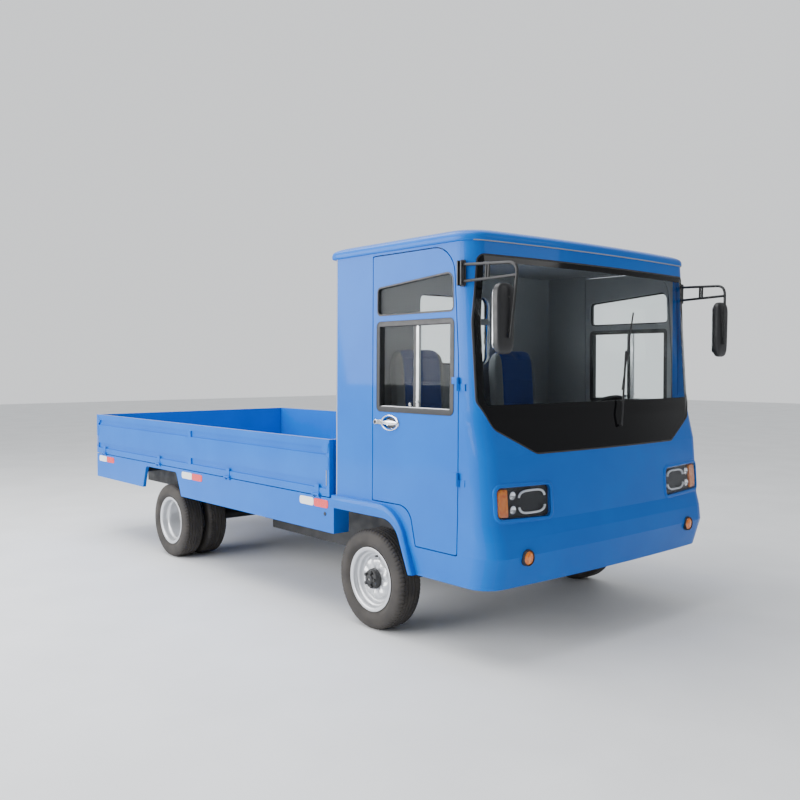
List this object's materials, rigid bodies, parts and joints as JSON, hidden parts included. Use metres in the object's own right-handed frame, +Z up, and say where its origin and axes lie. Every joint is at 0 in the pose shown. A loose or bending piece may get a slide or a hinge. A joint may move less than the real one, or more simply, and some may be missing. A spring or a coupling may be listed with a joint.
{
  "type": "electric flatbed burden carrier",
  "caption": "Small electric truck with a closed forward cab, a drop-side flat bed, twin rear wheels and steered front wheels.",
  "frame": {"origin": "on the ground under the middle of the truck's box", "axes": "+X forward, +Y to the left side, +Z up; the wheels spin about Y"},
  "size_m": [4.976, 2.064, 2.1869],
  "materials": {
    "blue_paint": "gloss azure paint",
    "frame_black": "satin black chassis paint",
    "tyre_rubber": "worn black rubber",
    "rim_silver": "silver wheel paint",
    "clear_glass": "clear safety glass",
    "black_glass": "gloss black screen panel",
    "black_plastic": "grained black plastic",
    "lamp_clear": "clear lamp cover",
    "lamp_amber": "amber lens",
    "lamp_red": "red lens",
    "reflective_tape": "white and red reflective tape",
    "interior_grey": "grey cab lining and floor",
    "dash_dark": "dark grained dash moulding",
    "seat_fabric": "dark blue seat cloth",
    "bare_steel": "forged and machined steel"
  },
  "bodies": {
    "chassis": {"chassis_frame": "frame_black", "front_axle_beam": "frame_black", "drive_axle": "frame_black", "leaf_springs": "frame_black", "battery_box": "frame_black", "bed_floor": "blue_paint", "bed_bearers": "frame_black", "skirt_panels": "blue_paint", "headboard": "blue_paint", "rear_lamps": "lamp_red", "side_reflectors": "reflective_tape", "cab_side_left": "blue_paint", "cab_side_right": "blue_paint", "cab_rear_wall": "blue_paint", "cab_front": "blue_paint", "cab_glass": "clear_glass", "cowl_panel": "black_glass", "front_lamps": "lamp_clear", "cab_roof": "blue_paint", "cab_floor": "interior_grey", "seat_left": "seat_fabric", "seat_right": "seat_fabric", "dashboard": "dash_dark", "steering_column": "dash_dark", "mirrors": "black_plastic", "wiper": "black_plastic"},
    "steering_wheel": {"steering_wheel": "black_plastic"},
    "door_left": {"door_left": "blue_paint", "door_glass_left": "clear_glass"},
    "door_right": {"door_right": "blue_paint", "door_glass_right": "clear_glass"},
    "side_board_left": {"side_board_left": "blue_paint"},
    "side_board_right": {"side_board_right": "blue_paint"},
    "tailgate": {"tailgate": "blue_paint"},
    "knuckle_left": {"knuckle_left": "bare_steel"},
    "knuckle_right": {"knuckle_right": "bare_steel"},
    "tie_rod": {"tie_rod": "frame_black"},
    "front_wheel_left": {"front_tyre_left": "tyre_rubber", "front_rim_left": "rim_silver"},
    "front_wheel_right": {"front_tyre_right": "tyre_rubber", "front_rim_right": "rim_silver"},
    "rear_wheels_left": {"rear_tyres_left": "tyre_rubber", "rear_rims_left": "rim_silver"},
    "rear_wheels_right": {"rear_tyres_right": "tyre_rubber", "rear_rims_right": "rim_silver"}
  },
  "joints": [
    {"name": "steer_left", "type": "hinge", "parent": "chassis", "child": "knuckle_left", "pos_m": [1.414, 0.78, 0.2805], "axis": [0, 0, 1], "range_deg": [-30, 30]},
    {"name": "steer_right", "type": "hinge", "parent": "chassis", "child": "knuckle_right", "pos_m": [1.414, -0.78, 0.2805], "axis": [0, 0, 1], "range_deg": [-30, 30]},
    {"name": "tie_rod_swing", "type": "hinge", "parent": "knuckle_left", "child": "tie_rod", "pos_m": [1.274, 0.78, 0.1965], "axis": [0, 0, 1], "range_deg": [-30, 30]},
    {"name": "steering_wheel_turn", "type": "hinge", "parent": "chassis", "child": "steering_wheel", "pos_m": [1.884, 0.43, 1.19], "axis": [-0.5, 0, 0.866], "range_deg": [-480, 480]},
    {"name": "front_wheel_left_spin", "type": "hinge", "parent": "knuckle_left", "child": "front_wheel_left", "pos_m": [1.414, 0.89, 0.2805], "axis": [0, 1, 0], "continuous": true},
    {"name": "front_wheel_right_spin", "type": "hinge", "parent": "knuckle_right", "child": "front_wheel_right", "pos_m": [1.414, -0.89, 0.2805], "axis": [0, 1, 0], "continuous": true},
    {"name": "rear_wheels_left_spin", "type": "hinge", "parent": "chassis", "child": "rear_wheels_left", "pos_m": [-1.061, 0.7945, 0.2805], "axis": [0, 1, 0], "continuous": true},
    {"name": "rear_wheels_right_spin", "type": "hinge", "parent": "chassis", "child": "rear_wheels_right", "pos_m": [-1.061, -0.7945, 0.2805], "axis": [0, 1, 0], "continuous": true},
    {"name": "door_left_swing", "type": "hinge", "parent": "chassis", "child": "door_left", "pos_m": [2.128, 0.979, 1.15], "axis": [0, 0, -1], "range_deg": [0, 70]},
    {"name": "door_right_swing", "type": "hinge", "parent": "chassis", "child": "door_right", "pos_m": [2.128, -0.979, 1.15], "axis": [0, 0, 1], "range_deg": [0, 70]},
    {"name": "side_board_left_drop", "type": "hinge", "parent": "chassis", "child": "side_board_left", "pos_m": [-0.706, 0.988, 0.712], "axis": [-1, 0, 0], "range_deg": [0, 180]},
    {"name": "side_board_right_drop", "type": "hinge", "parent": "chassis", "child": "side_board_right", "pos_m": [-0.706, -0.988, 0.712], "axis": [1, 0, 0], "range_deg": [0, 180]},
    {"name": "tailgate_drop", "type": "hinge", "parent": "chassis", "child": "tailgate", "pos_m": [-2.48, 0, 0.712], "axis": [0, -1, 0], "range_deg": [0, 180]}
  ],
  "couplings": [
    {"joint": "steer_right", "follows": "steer_left", "ratio": 1},
    {"joint": "tie_rod_swing", "follows": "steer_left", "ratio": -1},
    {"joint": "steering_wheel_turn", "follows": "steer_left", "ratio": 16}
  ]
}
